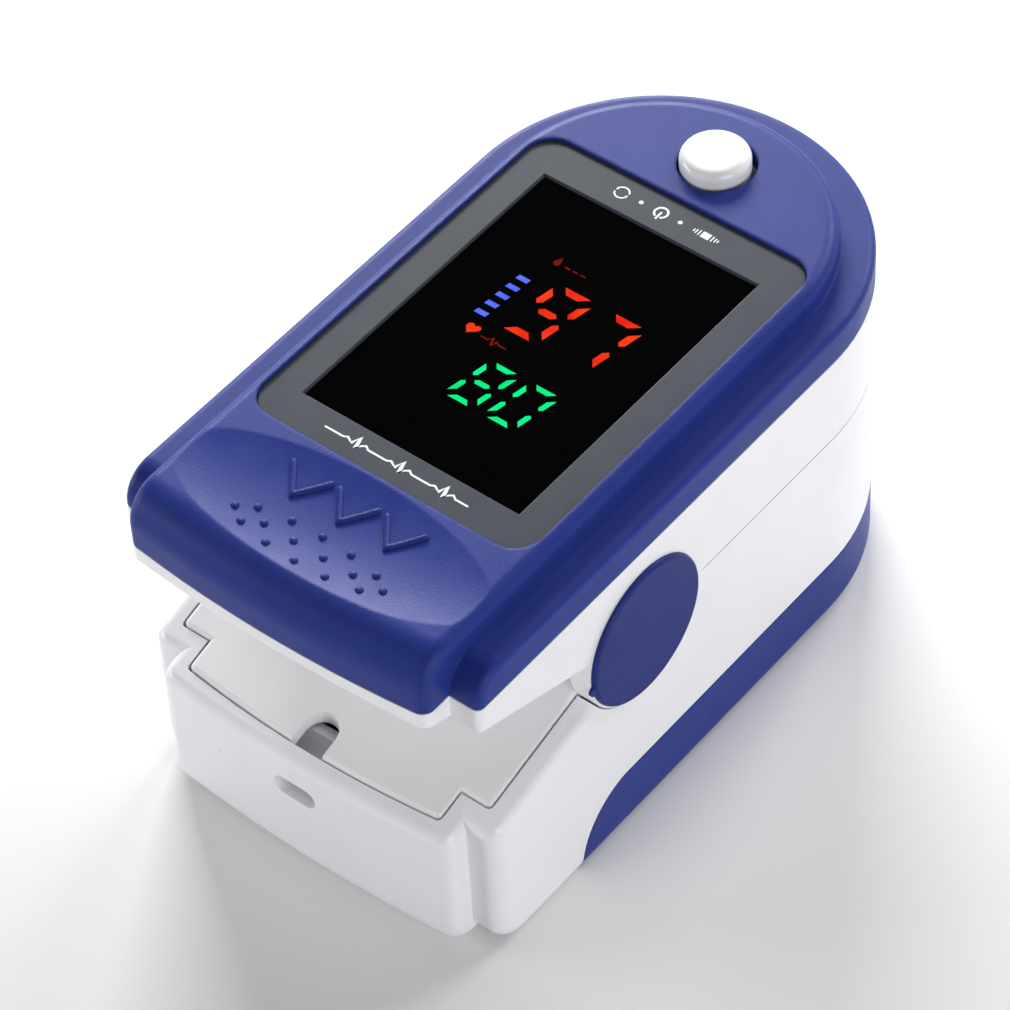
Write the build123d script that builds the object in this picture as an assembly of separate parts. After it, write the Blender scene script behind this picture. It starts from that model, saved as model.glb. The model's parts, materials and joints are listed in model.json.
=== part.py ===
"""Fingertip pulse oximeter: two sprung jaws hinged side to side, with a display and a battery bay.

Frame: millimetres, +Z up, origin on the base plane under the middle of the body.
-Y is the squared push end, +Y is the round end where the finger goes in, x = 0 is the
plane of symmetry. The lower jaw stands on z = 0.
"""
from build123d import *
from math import atan, degrees
import os

os.makedirs("parts", exist_ok=True)

# ---------------------------------------------------------------- driving dimensions
LENGTH = 59.7
HALF_WIDTH = 16.0
ROUND_Y = LENGTH / 2 - HALF_WIDTH          # centre of the semicircular end
WALL = 1.6
NOSE_HALF = 13.4                           # half-width of the nose in front of the shoulders

UPPER_NOSE_TIP = -LENGTH / 2
UPPER_NOSE_CORNER = UPPER_NOSE_TIP + 0.8
UPPER_SHOULDER = -26.6
LOWER_NOSE_TIP = -28.7
LOWER_NOSE_CORNER = LOWER_NOSE_TIP + 0.65
LOWER_SHOULDER = -26.0

PARTING_Z = 19.53                          # where the two jaws meet
PARTING_GAP = 0.07                         # each jaw stops this far short of it
COVER_SEAM_Z = 27.5                        # blue top cover above, white case below
SEAM_GAP = 0.05
LEDGE_Z = 30.35                            # top of the ledge round the raised island
TOP_Z = 32.35
BATTERY_SEAM_Z = 6.0                       # blue battery cover below, white case above

LEDGE_ROUNDING = 0.6                       # ledge's edge and the upper jaw's shoulders
ISLAND_ROUNDING = 1.0                      # island's edge and the upper jaw's nose
LOWER_ROUNDING = 1.3                       # lower jaw's upright corners and bottom edges
INNER_CORNER_R = 0.4
LEDGE_ROLL = 2.65
NOSE_ROLL = 3.0
BOTTOM_ROLL = 2.6                          # underside of the lower jaw's front

# The jaws draw apart in a V in front of the hinge.
UPPER_V_Y, UPPER_V_Z, UPPER_V_SLOPE = -26.2, 24.9, 0.346
LOWER_V_Y, LOWER_V_Z, LOWER_V_SLOPE = -26.0, 13.15, 0.29

HINGE_Y, HINGE_Z = -8.85, 19.65
PIN_R = 1.2
PIN_CLEARANCE = 0.05
CAP_R = 6.05
CAP_FACE_X = 16.5
CAP_BACK_X = 16.12
CAP_ROUNDING = 0.33
CAP_STUB_R = 2.0                           # stub of the cap that grips the pin
CAP_STUB_X = 14.9
GATE_STUB = (-6.0, -0.95)                  # moulding stub on the cap's rim, from the hinge centre
GATE_STUB_R = 0.4
LUG_R = 6.25                               # white boss behind the hinge cap
LUG_CLEARANCE = 0.15
LUG_FACE_X = 16.1
INNER_LUG_X = (12.75, 14.05)               # the lower jaw's own lug, inside the boss
INNER_LUG_R = 3.3
LUG_SIDE_GAP = 0.3                         # between the lower jaw's lug and the boss

# Finger tunnel: rounded rectangles, nested from the finger outwards.
TUNNEL_HALF_WIDTH = 8.2
TUNNEL_HALF_HEIGHT = 3.6
TUNNEL_CORNER_R = 3.4
TUNNEL_END_Y = -5.5
FLARE_Y = (24.4, 31.4)                     # flared mouth of the tunnel
FLARE_GROWTH = 4.4
PAD_THICKNESS = 1.0
SHELL_THICKNESS = 0.9
TROUGH_WALL = PAD_THICKNESS + SHELL_THICKNESS
SENSOR_Y = 5.0
SENSOR_WINDOW = 6.0

CELL_R = 5.25
CELL_LENGTH = 44.5
CELL_NUB = 0.8
CELL_NUB_R = 1.9
CELL_X = 5.6
CELL_Z = 7.0
CELL_FRONT_Y = -22.1

PANEL_HALF_WIDTH = 12.39
PANEL_Y = (-17.2, 16.85)
PANEL_CORNER_R = 2.2
PANEL_FACE_Z = 32.1                        # sunk a little below the island's top
PANEL_BACK_Z = 31.6
WINDOW_HALF_WIDTH = 9.65
WINDOW_Y = (-14.0, 13.26)
WINDOW_DEPTH = 0.2                         # glass sits this far below the panel's face

BUTTON_Y = 21.4
KEY_X = -0.17                              # the key leans to one side of its hole
BUTTON_R = 2.69
BUTTON_HOLE_R = 3.0
BUTTON_TOP_Z = 33.55

BOARD_Z = (26.1, 27.1)
BOARD_HALF = 11.4
BOARD_FRONT_Y = -19.4
CHIP_HEIGHT = 0.9
FAR = 60.0                                 # longer than anything here, for cutting tools


# ---------------------------------------------------------------- helpers
def prism(face, bottom, top):
    """A flat XY face raised from bottom to top."""
    return Pos(0, 0, bottom) * extrude(face, amount=top - bottom, dir=(0, 0, 1))


def block(x, y, z):
    """A box given by its low and high corners on each axis."""
    size = Box(x[1] - x[0], y[1] - y[0], z[1] - z[0])
    return Pos((x[0] + x[1]) / 2, (y[0] + y[1]) / 2, (z[0] + z[1]) / 2) * size


def disc_x(radius, x, y=HINGE_Y, z=HINGE_Z):
    """A cylinder along X between two x values."""
    rod = Cylinder(radius, x[1] - x[0], rotation=(0, 90, 0))
    return Pos((x[0] + x[1]) / 2, y, z) * rod


def rod_z(radius, x, y, z):
    """A cylinder along Z between two z values."""
    return Pos(x, y, (z[0] + z[1]) / 2) * Cylinder(radius, z[1] - z[0])


def side_profile(points, half_width=FAR):
    """A polygon of (y, z) points drawn out along X to both sides."""
    face = Plane.YZ * make_face(Polyline(*points, close=True))
    return Pos(-half_width, 0, 0) * extrude(face, amount=2 * half_width, dir=(1, 0, 0))


def both_sides(shape):
    """A part on the +X side and its mirror image."""
    return shape + mirror(shape, about=Plane.YZ)


def plan(tip, corner, shoulder, radii, inset=0.0):
    """Plan outline: bulged nose, square shoulders, straight sides and a round end.

    The radii are those of the shoulders and of the nose's corners.
    """
    nose = NOSE_HALF - inset
    half = HALF_WIDTH - inset
    front = shoulder + inset
    nose_corner = corner + inset
    left = Polyline((-nose, nose_corner), (-nose, front), (-half, front), (-half, ROUND_Y))
    end = ThreePointArc((-half, ROUND_Y), (0, ROUND_Y + half), (half, ROUND_Y))
    right = Polyline((half, ROUND_Y), (half, front), (nose, front), (nose, nose_corner))
    bulge = ThreePointArc((nose, nose_corner), (0, tip + inset), (-nose, nose_corner))
    face = make_face(Curve() + [left, end, right, bulge])
    shoulders = face.vertices().filter_by(lambda v: abs(abs(v.X) - half) < 0.01 and v.Y < front + 0.01)
    face = fillet(shoulders, max(radii[0] - inset, INNER_CORNER_R))
    nose_corners = face.vertices().filter_by(lambda v: v.Y < nose_corner + 0.01)
    return fillet(nose_corners, max(radii[1] - inset, INNER_CORNER_R))


def upper_plan(inset=0.0):
    radii = (LEDGE_ROUNDING, ISLAND_ROUNDING)
    return plan(UPPER_NOSE_TIP, UPPER_NOSE_CORNER, UPPER_SHOULDER, radii, inset)


def lower_plan(inset=0.0, front_saving=0.0):
    """The lower jaw's plan; front_saving thins the wall across the nose."""
    tip = LOWER_NOSE_TIP - front_saving
    corner = LOWER_NOSE_CORNER - front_saving
    return plan(tip, corner, LOWER_SHOULDER, (LOWER_ROUNDING, LOWER_ROUNDING), inset)


def island_plan(inset=0.0):
    """Plan outline of the raised island: as wide as the nose all the way back."""
    half = NOSE_HALF - inset
    corner = UPPER_NOSE_CORNER + inset
    left = Line((-half, corner), (-half, ROUND_Y))
    end = ThreePointArc((-half, ROUND_Y), (0, ROUND_Y + half), (half, ROUND_Y))
    right = Line((half, ROUND_Y), (half, corner))
    bulge = ThreePointArc((half, corner), (0, UPPER_NOSE_TIP + inset), (-half, corner))
    face = make_face(Curve() + [left, end, right, bulge])
    corners = face.vertices().filter_by(lambda v: v.Y < corner + 0.01)
    return fillet(corners, max(ISLAND_ROUNDING - inset, INNER_CORNER_R))


def tier(half, corner_y, tip_y, base_z, face_z, roll, rounding):
    """Block with straight sides and a round end; its front edge rolls over into the face at face_z.

    The front is bulged out to tip_y. The face is above or below base_z, and the upright
    corners and the face's other edges are one rounded chain.
    """
    left = Line((-half, corner_y), (-half, ROUND_Y))
    end = ThreePointArc((-half, ROUND_Y), (0, ROUND_Y + half), (half, ROUND_Y))
    right = Line((half, ROUND_Y), (half, corner_y))
    front = Line((half, corner_y), (-half, corner_y))
    if tip_y < corner_y:
        front = ThreePointArc((half, corner_y), (0, tip_y), (-half, corner_y))
    body = prism(make_face(Curve() + [left, end, right, front]), *sorted((base_z, face_z)))

    def at_face(edge):
        return abs(edge.center().Z - face_z) < 0.01

    def front_edge(edge):
        return edge.center().Y < corner_y + 0.01 and at_face(edge)

    def side_edge(edge):
        middle = edge.center()
        at_side = abs(abs(middle.X) - half) < 0.01 and abs(middle.Z - base_z) > 0.5
        on_round = middle.Y > ROUND_Y + 1 and at_face(edge)
        upright_behind = middle.Y > ROUND_Y - 0.01 and abs(middle.Z - face_z) > 0.5
        return (at_side or on_round) and not upright_behind

    body = fillet(body.edges().filter_by(front_edge), roll)
    return fillet(body.edges().filter_by(side_edge), rounding)


def upper_v(y):
    return UPPER_V_Z + UPPER_V_SLOPE * (UPPER_V_Y - y)


def lower_v(y):
    return LOWER_V_Z + LOWER_V_SLOPE * (y - LOWER_V_Y)


def under_upper_v(drop=0.0):
    """Everything below the upper jaw's sloping mouth, for cutting."""
    base = PARTING_Z + PARTING_GAP
    meet = UPPER_V_Y - (base - UPPER_V_Z + drop) / UPPER_V_SLOPE
    return side_profile([(-FAR, base - 9), (-FAR, upper_v(-FAR) - drop), (meet, base), (meet, base - 9)])


def over_lower_v(rise=0.0):
    """Everything above the lower jaw's sloping mouth, for cutting."""
    base = PARTING_Z - PARTING_GAP
    meet = LOWER_V_Y + (base - LOWER_V_Z - rise) / LOWER_V_SLOPE
    return side_profile([(-FAR, lower_v(-FAR) + rise), (-FAR, FAR), (meet, FAR), (meet, base)])


def tunnel(grow, end_y=TUNNEL_END_Y, open_y=FAR):
    """The finger tunnel grown by a wall thickness, closed and rounded at its inner end."""
    section = RectangleRounded(
        2 * (TUNNEL_HALF_WIDTH + grow), 2 * (TUNNEL_HALF_HEIGHT + grow), TUNNEL_CORNER_R + grow
    )
    near = end_y - grow
    body = extrude(Pos(0, near, PARTING_Z) * (Plane.XZ * section), amount=open_y - near, dir=(0, 1, 0))
    closed_end = body.faces().sort_by(Axis.Y)[0].edges()
    return fillet(closed_end, 1.5 + grow)


def entry_flare():
    """The flared mouth that guides the finger in at the round end."""
    width = 2 * TUNNEL_HALF_WIDTH
    height = 2 * TUNNEL_HALF_HEIGHT
    start = Plane.XZ * RectangleRounded(width, height, TUNNEL_CORNER_R)
    finish = Plane.XZ * RectangleRounded(width + FLARE_GROWTH, height + FLARE_GROWTH, TUNNEL_CORNER_R + 2)
    return loft([Pos(0, FLARE_Y[0], PARTING_Z) * start, Pos(0, FLARE_Y[1], PARTING_Z) * finish])


def upper_half(shape):
    return shape & block((-FAR, FAR), (-FAR, FAR), (PARTING_Z + PARTING_GAP, FAR))


def lower_half(shape):
    return shape & block((-FAR, FAR), (-FAR, FAR), (-FAR, PARTING_Z - PARTING_GAP))


def save(shape, name):
    export_step(shape, "parts/" + name + ".step")


# ---------------------------------------------------------------- lower jaw housings
COVER_FRONT_Y = -16.6
COVER_TOP_FRONT_Y = -11.3
COVER_FRONT_R = 5.8
COVER_GAP = 0.06
COVER_FLOOR = 1.4
COVER_WALL = 1.3
TONGUE_HALF = 6.0                          # tongue of the cover that tucks into the case's floor
TONGUE_REACH = 2.2
TONGUE_Z = (0.85, COVER_FLOOR)
RIB_COUNT = 5                              # thumb ribs under the cover
RIB_START_Y = 15.5
RIB_PITCH = 1.35
RIB_WIDTH = 0.6
RIB_HALF = 6.0
RIB_MARGIN = 0.9
RIB_FIELD_DEPTH = 0.35
RIM_ROUNDING = 0.95

BAY_WALL_X = (11.9, 12.7)
BAY_FRONT_Y = -24.4
BAY_BACK_Y = 24.7
BAY_SIDE_END_Y = 20.8
BAY_FRONT_WALL = 0.9
BAY_FRONT_TOP_Z = 12.05
BAY_BACK_WALL = 0.6
BACK_WALL_HALF = 8.6
RAIL_FOOT_X = 13.4                         # rails of the case that the cover's hooks slide on
RAIL_Y = (-8.0, 13.0)
RAIL_Z = 1.7
RAIL_TOP_Z = 2.5
HOOK_Z = (2.75, 3.6)
WEB_Z = (12.45, 13.25)
WEB_FRONT_Y = -21.0
SLAB = 1.2
SLAB_PROUD = 0.2
SLAB_EDGE = 0.38                           # rounding of the lower mouth plate's rim
FLANGE = 1.0
INNER_GAP = 0.16                           # all round the inner covers
FRONT_SAVING = 0.4                         # the front wall is this much thinner than the others
LANYARD_X, LANYARD_Z = -0.35, 9.0
LANYARD_HALF_LENGTH = 1.93
LANYARD_R = 0.9
NOTCH_R = 1.45
NOTCH_END_Y = -24.4
POCKET_HALF = 2.5                          # pocket that joins the lanyard slot to the notch
POCKET_WALL = 0.8
POCKET_FLOOR_Z = 7.9
POCKET_TOP_Z = 11.3

LOWER_SCREWS = [(x, y) for x in (-10.4, 10.4) for y in (-18.5, 18.0)]
UPPER_REAR_SCREWS = [(x, 12.0) for x in (-12.2, 12.2)]
UPPER_FRONT_SCREWS = [(x, -21.5) for x in (-10.5, 10.5)]
SCREW_R = 0.7
SCREW_HOLE_R = 0.75
SCREW_HEAD_R = 1.4
SCREW_HEAD = 0.75
FRONT_HEAD_RISE = 0.5                      # front heads are sunk this far above the mouth plate
FRONT_BOSS = 2.3                           # height of the plate's boss over them

RIBBON_HALF_WIDTH = 2.6
RIBBON_Y = -8.5
RIBBON_THICKNESS = 0.3
RIBBON_END_Y = (-2.6, -13.0)

COIL_X = (10.5, 12.3)
COIL_R = 2.3
COIL_TURNS = 2.5
SPRING_WIRE_R = 0.25
SPRING_LEG_Y = 4.0


def lower_body():
    """Outer form of the lower jaw with its battery cover in place."""
    top = PARTING_Z - PARTING_GAP
    body = tier(HALF_WIDTH, LOWER_SHOULDER, LOWER_SHOULDER, top, 0, BOTTOM_ROLL, LOWER_ROUNDING)
    body += tier(NOSE_HALF, LOWER_NOSE_CORNER, LOWER_NOSE_TIP, top, 0, BOTTOM_ROLL, LOWER_ROUNDING)
    body -= over_lower_v()
    slope = body.faces().filter_by(lambda f: 0.9 < f.normal_at().Z < 0.99)[0]
    rim = slope.edges().filter_by(lambda e: e.center().Y < -6)
    return fillet(rim, RIM_ROUNDING)


def battery_cover_zone(gap):
    """The part of the lower body that the battery cover takes up."""
    top = BATTERY_SEAM_Z - gap
    front = COVER_FRONT_Y + gap
    top_front = COVER_TOP_FRONT_Y + gap
    outline = Curve() + [
        Line((front, -1), (front, 0)),
        RadiusArc((front, 0), (top_front, top), COVER_FRONT_R),
        Polyline((top_front, top), (FAR, top), (FAR, -1), (front, -1)),
    ]
    face = Plane.YZ * make_face(outline)
    return Pos(-FAR, 0, 0) * extrude(face, amount=2 * FAR, dir=(1, 0, 0))


def inner_lug():
    """Hinge lug of the lower jaw on the +X side, with the pin's hole."""
    y = (HINGE_Y - INNER_LUG_R, HINGE_Y + INNER_LUG_R)
    lug = disc_x(INNER_LUG_R, INNER_LUG_X)
    lug += block(INNER_LUG_X, y, (WEB_Z[1] - 0.3, HINGE_Z))
    lug += block((INNER_LUG_X[0], HALF_WIDTH - WALL + 0.2), y, (WEB_Z[1] - 0.3, 13.4))
    return lug - disc_x(PIN_R + PIN_CLEARANCE, (12, 15))


def lanyard_pocket():
    """Floor, two sides and rising back of the pocket behind the lanyard slot."""
    y = (LOWER_NOSE_TIP + WALL - FRONT_SAVING - 0.2, BAY_FRONT_Y - BAY_FRONT_WALL + 0.1)
    outer = POCKET_HALF + POCKET_WALL
    pocket = block((-outer, outer), y, (POCKET_FLOOR_Z - POCKET_WALL, POCKET_FLOOR_Z))
    ramp = [(y[0] + 0.7, POCKET_FLOOR_Z - 0.1), (y[1], POCKET_FLOOR_Z - 0.1), (y[1], BAY_FRONT_TOP_Z)]
    pocket += side_profile(ramp, POCKET_HALF + 0.1)
    return pocket + both_sides(block((POCKET_HALF, outer), y, (POCKET_FLOOR_Z - 0.1, POCKET_TOP_Z)))


def lower_case():
    """White shell of the lower jaw with the battery bay, its rails and the hinge lugs."""
    hollow = prism(lower_plan(WALL, FRONT_SAVING), COVER_FLOOR, FAR)
    case = lower_body() - battery_cover_zone(0) - hollow
    case += hollow & block((-FAR, FAR), (WEB_FRONT_Y, FAR), WEB_Z)
    bay_side = block(BAY_WALL_X, (BAY_FRONT_Y, BAY_SIDE_END_Y), (RAIL_Z, WEB_Z[0] + 0.2))
    bay_side += block((BAY_WALL_X[1] - 0.1, RAIL_FOOT_X), RAIL_Y, (RAIL_Z, RAIL_TOP_Z))
    bay_side += block(BAY_WALL_X, (BAY_FRONT_Y, COVER_FRONT_Y - 0.3), (COVER_FLOOR - 0.2, RAIL_Z + 0.2))
    case += both_sides(bay_side)
    case -= both_sides(disc_x(LUG_R + LUG_CLEARANCE, (INNER_LUG_X[1] + LUG_SIDE_GAP / 2, HALF_WIDTH + 1)))
    case += both_sides(inner_lug())
    front_wall_y = (BAY_FRONT_Y - BAY_FRONT_WALL, BAY_FRONT_Y)
    case += block((-BAY_WALL_X[1], BAY_WALL_X[1]), front_wall_y, (COVER_FLOOR - 0.2, BAY_FRONT_TOP_Z))
    back_wall_y = (BAY_BACK_Y, BAY_BACK_Y + BAY_BACK_WALL)
    case += block((-BACK_WALL_HALF, BACK_WALL_HALF), back_wall_y, (RAIL_TOP_Z, WEB_Z[0] + 0.2))
    case -= block(
        (-TONGUE_HALF - 0.3, TONGUE_HALF + 0.3),
        (COVER_FRONT_Y - TONGUE_REACH - 0.3, COVER_FRONT_Y + 1),
        (TONGUE_Z[0] - 0.1, COVER_FLOOR + 0.1),
    )
    case += lanyard_pocket()
    slot = SlotCenterToCenter(2 * (LANYARD_HALF_LENGTH - LANYARD_R), 2 * LANYARD_R)
    case -= Pos(LANYARD_X, LOWER_NOSE_TIP + WALL + 0.3, LANYARD_Z) * extrude(
        Plane.XZ * slot, amount=4, dir=(0, -1, 0)
    )
    case -= tunnel(TROUGH_WALL + INNER_GAP)
    for x, y in LOWER_SCREWS:
        case -= rod_z(SCREW_HOLE_R, x, y, (WEB_Z[0] - 1, WEB_Z[1] + 1))
    return case


def battery_cover():
    """Blue cover that slides off towards the round end on two rails."""
    cover = lower_body() & battery_cover_zone(COVER_GAP)
    cover -= prism(lower_plan(COVER_WALL), COVER_FLOOR, FAR)
    hook = block((RAIL_FOOT_X + 0.2, HALF_WIDTH - COVER_WALL + 0.1), RAIL_Y, (COVER_FLOOR - 0.1, HOOK_Z[1]))
    hook += block((BAY_WALL_X[1] + 0.2, RAIL_FOOT_X + 0.3), RAIL_Y, HOOK_Z)
    cover += both_sides(hook)
    cover += block((-TONGUE_HALF, TONGUE_HALF), (COVER_FRONT_Y - TONGUE_REACH, COVER_FRONT_Y + 0.5), TONGUE_Z)
    # Thumb ribs stand in a shallow field, so that the base stays flat.
    field_end = RIB_START_Y + (RIB_COUNT - 1) * RIB_PITCH + RIB_WIDTH + RIB_MARGIN
    field_y = (RIB_START_Y - RIB_MARGIN, field_end)
    cover -= block((-RIB_HALF - 1, RIB_HALF + 1), field_y, (-0.5, RIB_FIELD_DEPTH))
    for index in range(RIB_COUNT):
        y = RIB_START_Y + index * RIB_PITCH
        cover += block((-RIB_HALF, RIB_HALF), (y, y + RIB_WIDTH), (0.05, RIB_FIELD_DEPTH + 0.15))
    return cover


def sloping_slab(v_line, face, inside, back):
    """Plate along a jaw's sloping mouth; face and inside are its offsets from the mouth."""
    front = UPPER_NOSE_TIP - 1
    return side_profile([
        (front, v_line(front) + face), (back, v_line(back) + face),
        (back, v_line(back) + inside), (front, v_line(front) + inside),
    ])


def hinge_pockets():
    """Room for the lower lugs and the springs of both hinges, taken out of the inner covers."""
    coil_x = (COIL_X[0] - 0.3, INNER_LUG_X[0])
    pocket = disc_x(COIL_R + 0.8, coil_x)
    pocket += disc_x(INNER_LUG_R + 0.3, (INNER_LUG_X[0] - 0.25, HALF_WIDTH))
    stem_y = (HINGE_Y - INNER_LUG_R - 0.3, HINGE_Y + INNER_LUG_R + 0.3)
    pocket += block((INNER_LUG_X[0] - 0.25, HALF_WIDTH), stem_y, (WEB_Z[0], HINGE_Z))
    lower_leg_z = PARTING_Z - PARTING_GAP - FLANGE
    pocket += block(coil_x, (HINGE_Y, SPRING_LEG_Y + 1), (HINGE_Z - COIL_R - 0.9, lower_leg_z))
    return both_sides(pocket)


def ribbon_slot():
    half = RIBBON_HALF_WIDTH + 0.5
    return block((-half, half), (RIBBON_Y - 0.6, RIBBON_Y + 0.6), (WEB_Z[1] + 0.95, BOARD_Z[0] - 0.9))


def sensor_hole(z):
    half = SENSOR_WINDOW / 2
    return block((-half, half), (SENSOR_Y - half, SENSOR_Y + half), z)


def lower_inner_cover():
    """Sloping mouth plate, flange and finger trough in one moulding."""
    top = PARTING_Z - PARTING_GAP
    footprint = prism(lower_plan(WALL + INNER_GAP, FRONT_SAVING), 0, top)
    slab = footprint & sloping_slab(lower_v, SLAB_PROUD, SLAB_PROUD - SLAB, -3.4)
    slope = slab.faces().filter_by(lambda f: f.normal_at().Z > 0.9 and f.center().Y < -10)[0]
    slab = fillet(slope.edges().filter_by(lambda e: e.center().Y < -6), SLAB_EDGE)
    flange = footprint & block((-FAR, FAR), (-6.4, FAR), (top - FLANGE, top))
    shell = lower_half(tunnel(TROUGH_WALL)) & prism(lower_plan(0.1), 0, FAR)
    cover = flange + slab + shell
    for x, y in LOWER_SCREWS:
        boss_top = min(lower_v(y) - 0.3, top - 0.3)
        cover += rod_z(1.5, x, y, (WEB_Z[1] + 0.05, boss_top))
        cover -= rod_z(SCREW_HOLE_R, x, y, (WEB_Z[0], boss_top - 0.5))
    cover -= tunnel(PAD_THICKNESS) + entry_flare()
    cover -= hinge_pockets() + ribbon_slot() + sensor_hole((12, 16))
    notch = rod_z(NOTCH_R, 0, NOTCH_END_Y - NOTCH_R, (8, 20))
    notch += block((-NOTCH_R, NOTCH_R), (LOWER_NOSE_TIP, NOTCH_END_Y - NOTCH_R), (8, 20))
    return cover - notch


def finger_pad(half):
    """Silicone lining of one jaw's trough; half keeps the upper or the lower side."""
    pad = tunnel(PAD_THICKNESS - 0.03) & prism(upper_plan(0.5), 0, FAR)
    pad -= tunnel(0) + entry_flare()
    return half(pad)


def lower_finger_pad():
    return finger_pad(lower_half) - sensor_hole((12, 18))


def upper_finger_pad():
    return finger_pad(upper_half) - sensor_hole((22, 26))


# ---------------------------------------------------------------- upper jaw housings
ISLAND_WALL = 1.5
DISH_Y = -22.65                            # thumb dish in the top of the nose
DISH_DEPTH = 0.6
DISH_HALF_LENGTH = 5.1
DISH_HALF_WIDTH = 13.6
SCREW_BOSS_R = 1.9
REAR_BOSS_Z = 22.2                         # foot of the case's own bosses for the rear screws
BOSS_TIE_X = 13.0


def thumb_dish():
    """A shallow dish: an arc turned about a high axis that lies along X."""
    across_r = (DISH_HALF_LENGTH**2 + DISH_DEPTH**2) / (2 * DISH_DEPTH)
    along_r = (DISH_HALF_WIDTH**2 + DISH_DEPTH**2) / (2 * DISH_DEPTH)
    axis_z = TOP_Z - DISH_DEPTH + across_r
    end_z = axis_z - across_r + along_r - (along_r**2 - FAR**2 / 9) ** 0.5
    half = FAR / 3
    low = TOP_Z - DISH_DEPTH
    outline = Curve() + [
        ThreePointArc((-half, end_z), (0, low), (half, end_z)),
        Polyline((half, end_z), (half, axis_z), (-half, axis_z), (-half, end_z)),
    ]
    face = Pos(0, DISH_Y, 0) * (Plane.XZ * make_face(outline))
    return revolve(face, axis=Axis((0, DISH_Y, axis_z), (1, 0, 0)), revolution_arc=360)


def ledge():
    """The outer tier of the blue cover, behind the shoulders."""
    base = COVER_SEAM_Z + SEAM_GAP
    return tier(HALF_WIDTH, UPPER_SHOULDER, UPPER_SHOULDER, base, LEDGE_Z, LEDGE_ROLL, LEDGE_ROUNDING)


def island():
    """The raised tier of the blue cover, which runs forward as the nose."""
    base = COVER_SEAM_Z + SEAM_GAP
    return tier(NOSE_HALF, UPPER_NOSE_CORNER, UPPER_NOSE_TIP, base, TOP_Z, NOSE_ROLL, ISLAND_ROUNDING)


def panel_outline(grow=0.0):
    width = 2 * (PANEL_HALF_WIDTH + grow)
    length = PANEL_Y[1] - PANEL_Y[0] + 2 * grow
    middle = (PANEL_Y[0] + PANEL_Y[1]) / 2
    return Pos(0, middle, 0) * RectangleRounded(width, length, PANEL_CORNER_R + grow)


def window_block(shrink, z):
    half = WINDOW_HALF_WIDTH - shrink
    return block((-half, half), (WINDOW_Y[0] + shrink, WINDOW_Y[1] - shrink), z)


def top_cover():
    """Blue cover: ledge, island, thumb dish, panel recess, display opening and button hole."""
    cover = ledge() + island() - thumb_dish()
    ledge_room = prism(upper_plan(WALL), COVER_SEAM_Z, LEDGE_Z - ISLAND_WALL)
    island_room = prism(island_plan(ISLAND_WALL), COVER_SEAM_Z, TOP_Z - ISLAND_WALL)
    cover -= ledge_room + island_room
    room_top = TOP_Z - ISLAND_WALL
    for x, y in UPPER_REAR_SCREWS:
        cover += rod_z(SCREW_BOSS_R, x, y, (COVER_SEAM_Z + 0.1, LEDGE_Z - 0.4))
        cover -= rod_z(SCREW_HOLE_R, x, y, (COVER_SEAM_Z, LEDGE_Z - 1.0))
    for x, y in UPPER_FRONT_SCREWS:
        cover += rod_z(SCREW_BOSS_R - 0.2, x, y, (upper_v(y) + FRONT_BOSS + 0.05, room_top + 0.2))
        cover -= rod_z(SCREW_HOLE_R, x, y, (upper_v(y), room_top - 1))
    cover -= prism(panel_outline(0.06), PANEL_BACK_Z, FAR)
    cover -= window_block(0.75, (COVER_SEAM_Z, FAR))
    cover -= rod_z(BUTTON_HOLE_R, 0, BUTTON_Y, (COVER_SEAM_Z, FAR))
    return cover


def face_panel():
    """Grey printed frame round the display window."""
    panel = prism(panel_outline(), PANEL_BACK_Z + 0.02, PANEL_FACE_Z)
    panel -= window_block(0, (COVER_SEAM_Z, FAR))
    return chamfer(panel.faces().sort_by(Axis.Z)[-1].inner_wires()[0].edges(), 0.12)


def display_window():
    """Smoked window set a little below the panel's face."""
    return window_block(0.05, (PANEL_BACK_Z + 0.02, PANEL_FACE_Z - WINDOW_DEPTH))


def upper_case():
    """White shell of the upper jaw with the round bosses behind the hinge caps."""
    body = prism(upper_plan(), PARTING_Z + PARTING_GAP, COVER_SEAM_Z - SEAM_GAP) - under_upper_v()
    slope = body.faces().filter_by(lambda f: -0.99 < f.normal_at().Z < -0.9)[0]
    body = fillet(slope.edges().filter_by(lambda e: e.center().Y < -12), 0.5)
    case = body - prism(upper_plan(WALL), 0, FAR)
    case += both_sides(disc_x(LUG_R, (INNER_LUG_X[1] + LUG_SIDE_GAP, LUG_FACE_X)))
    case -= both_sides(disc_x(PIN_R + PIN_CLEARANCE, (12, HALF_WIDTH + 1)))
    case -= both_sides(disc_x(CAP_STUB_R + 0.03, (CAP_STUB_X - 0.1, HALF_WIDTH + 1)))
    for x, y in UPPER_REAR_SCREWS:
        side = 1 if x > 0 else -1
        case += rod_z(SCREW_BOSS_R, x, y, (REAR_BOSS_Z, COVER_SEAM_Z - SEAM_GAP))
        tie_x = sorted((side * BOSS_TIE_X, side * (HALF_WIDTH - WALL + 0.2)))
        case += block(tie_x, (y - 0.6, y + 0.6), (REAR_BOSS_Z, COVER_SEAM_Z - SEAM_GAP))
        case -= rod_z(SCREW_HOLE_R + 0.1, x, y, (REAR_BOSS_Z - 2, COVER_SEAM_Z + 1))
    return case - tunnel(TROUGH_WALL + INNER_GAP)


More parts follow.
